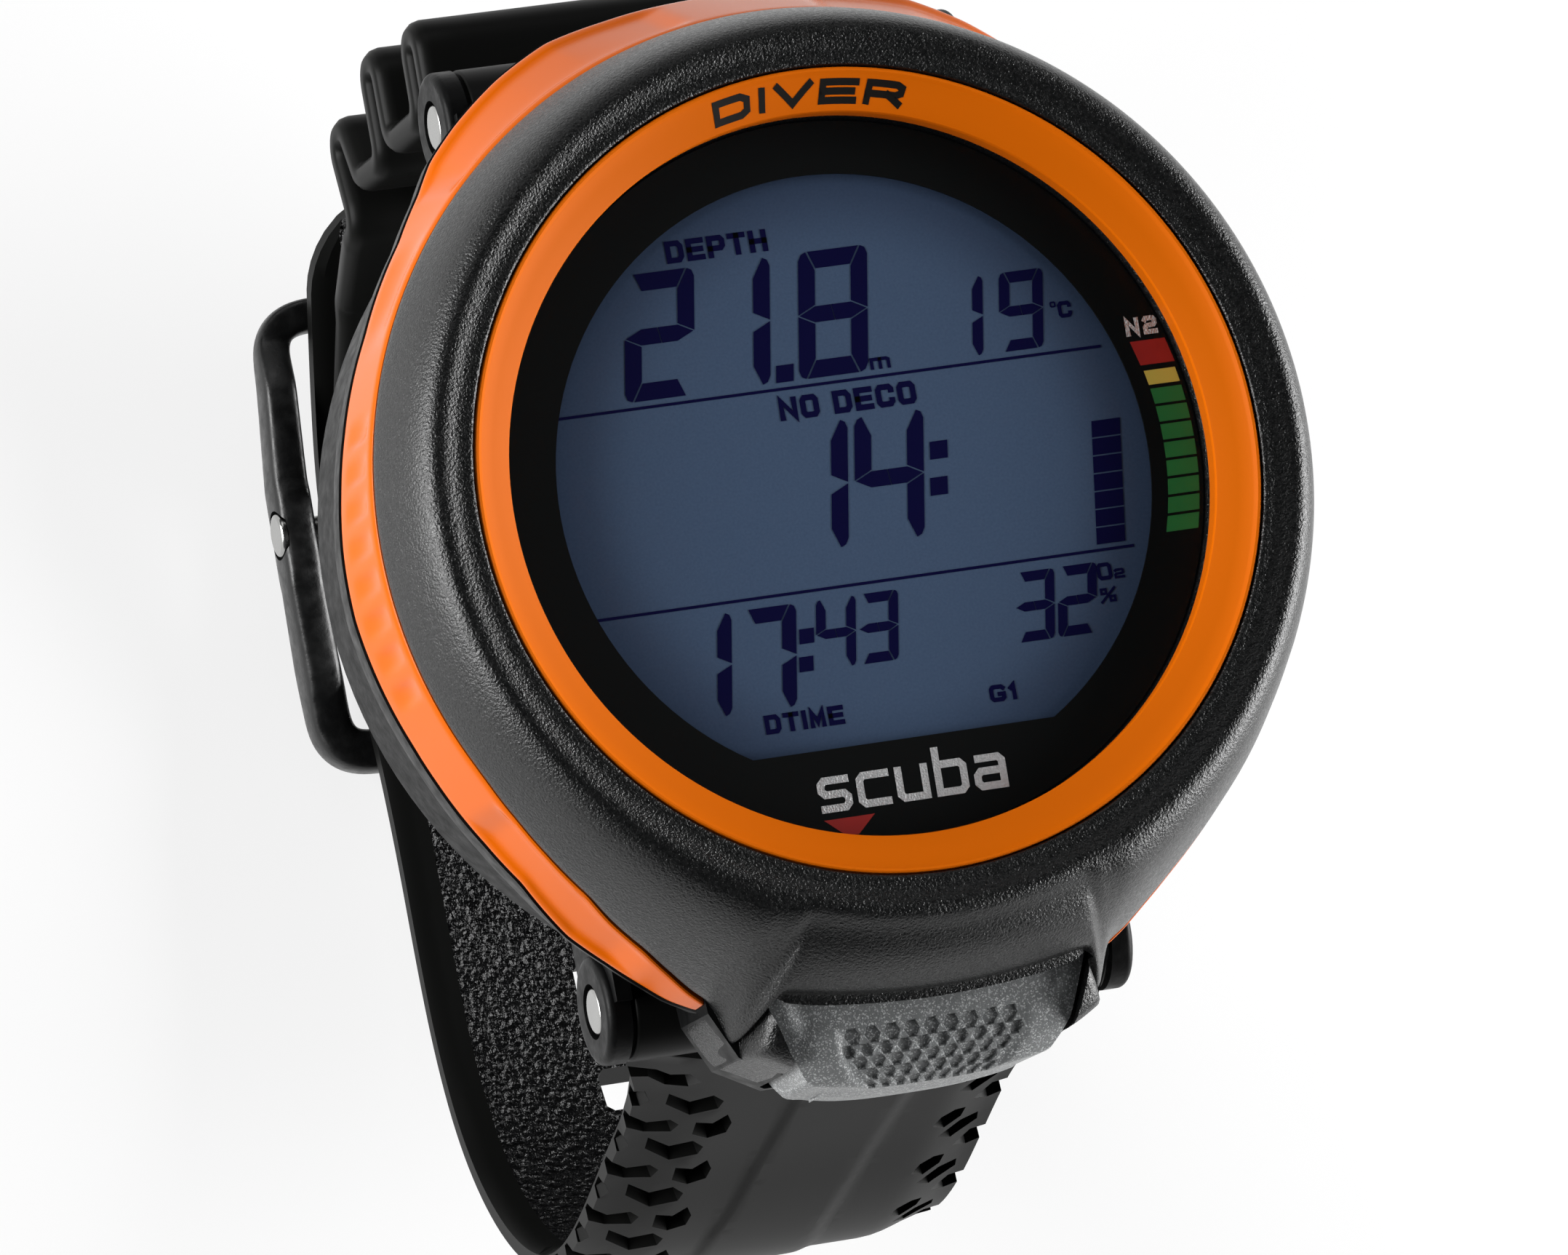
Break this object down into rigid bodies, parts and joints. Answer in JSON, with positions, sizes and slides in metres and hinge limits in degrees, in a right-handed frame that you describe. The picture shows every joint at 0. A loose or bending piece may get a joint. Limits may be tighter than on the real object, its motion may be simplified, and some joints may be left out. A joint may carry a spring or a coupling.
{
  "type": "dive computer",
  "caption": "Round wrist dive computer with a glass display, a press button, a coloured case ring and a pleated rubber strap buckled into a loop.",
  "frame": {"origin": "centre of the flat case back", "axes": "+Z out of the display, +Y to 12 o'clock, +X to 3 o'clock; the strap loop hangs towards -Z"},
  "size_m": [0.0668, 0.0886, 0.0921],
  "materials": {
    "case_plastic": "fine spark-eroded texture",
    "bezel_plastic": "fine spark-eroded texture with a soft sheen",
    "trim_orange": "polished moulded plastic",
    "ring_orange": "satin polished plastic with dark printed lettering",
    "window_glass": "polished mineral glass",
    "mask_black": "black print under the window",
    "seal_rubber": "matte moulded nitrile",
    "lcd": "blue-grey reflective liquid crystal display with dark segments",
    "light_guide": "clear acrylic",
    "inner_plastic": "moulded",
    "elastomer": "striped conductive silicone",
    "board_green": "solder-masked glass epoxy",
    "chip_black": "epoxy moulding",
    "steel": "polished stainless steel",
    "spring_steel": "drawn stainless spring steel",
    "brass": "nickel-free brass disc",
    "cell_steel": "brushed nickel-plated steel",
    "button_smoke": "smoked translucent plastic with fine sparkle",
    "strap_rubber": "satin moulded polyurethane, rough on the wrist side",
    "buckle_plastic": "fine spark-eroded texture"
  },
  "bodies": {
    "case": {"case_body": "case_plastic", "bezel": "bezel_plastic", "side_trim": "trim_orange", "display_ring": "ring_orange", "display_window": "window_glass", "display_mask": "mask_black", "window_seal": "seal_rubber", "case_seal": "seal_rubber", "lcd_panel": "lcd", "backlight_plate": "light_guide", "display_frame": "inner_plastic", "contact_strip_lower": "elastomer", "contact_strip_upper": "elastomer", "circuit_board": "board_green", "board_chips": "chip_black", "board_screws": "steel", "buzzer": "brass", "battery_cell": "cell_steel", "battery_spring": "spring_steel", "battery_tray": "inner_plastic", "side_contact": "spring_steel", "pressure_sensor": "cell_steel", "sensor_grille": "steel", "water_contacts": "steel", "case_screws": "steel", "button_bush": "steel", "button_seal": "seal_rubber", "press_switch": "chip_black", "upper_pin": "steel", "lower_pin": "steel"},
    "button": {"button_cap": "button_smoke", "button_plunger": "steel", "button_clip": "spring_steel", "button_spring": "spring_steel"},
    "battery_hatch": {"battery_cover": "case_plastic", "cover_seal": "seal_rubber"},
    "short_strap": {"short_strap": "strap_rubber"},
    "long_strap": {"long_strap": "strap_rubber"},
    "buckle": {"buckle_frame": "buckle_plastic", "buckle_pin": "steel"},
    "prong": {"buckle_prong": "steel"}
  },
  "joints": [
    {"name": "button_press", "type": "slide", "parent": "case", "child": "button", "axis": [0, 1, 0], "range_m": [0, 0.0012], "stiffness_N_per_m": 900, "springref_m": -0.0008, "deforming": ["button_spring"]},
    {"name": "battery_cover_turn", "type": "hinge", "parent": "case", "child": "battery_hatch", "pos_m": [0, 0, 0.001], "axis": [0, 0, 1], "range_deg": [0, 40]},
    {"name": "short_strap_swing", "type": "hinge", "parent": "case", "child": "short_strap", "pos_m": [0, 0.0314, 0.004], "axis": [1, 0, 0], "range_deg": [-0.4, 0.4]},
    {"name": "long_strap_swing", "type": "hinge", "parent": "case", "child": "long_strap", "pos_m": [0, -0.0314, 0.004], "axis": [1, 0, 0], "range_deg": [-0.14, 0.14]},
    {"name": "buckle_tilt", "type": "hinge", "parent": "short_strap", "child": "buckle", "pos_m": [0, 0.0135, -0.0562], "axis": [1, 0, 0], "range_deg": [-0.5, 0.5]},
    {"name": "prong_lift", "type": "hinge", "parent": "buckle", "child": "prong", "pos_m": [0, 0.0135, -0.0562], "axis": [1, 0, 0], "range_deg": [0, 6]}
  ],
  "couplings": [
    {"joint": "long_strap_swing", "follows": "short_strap_swing", "ratio": 0.35}
  ]
}
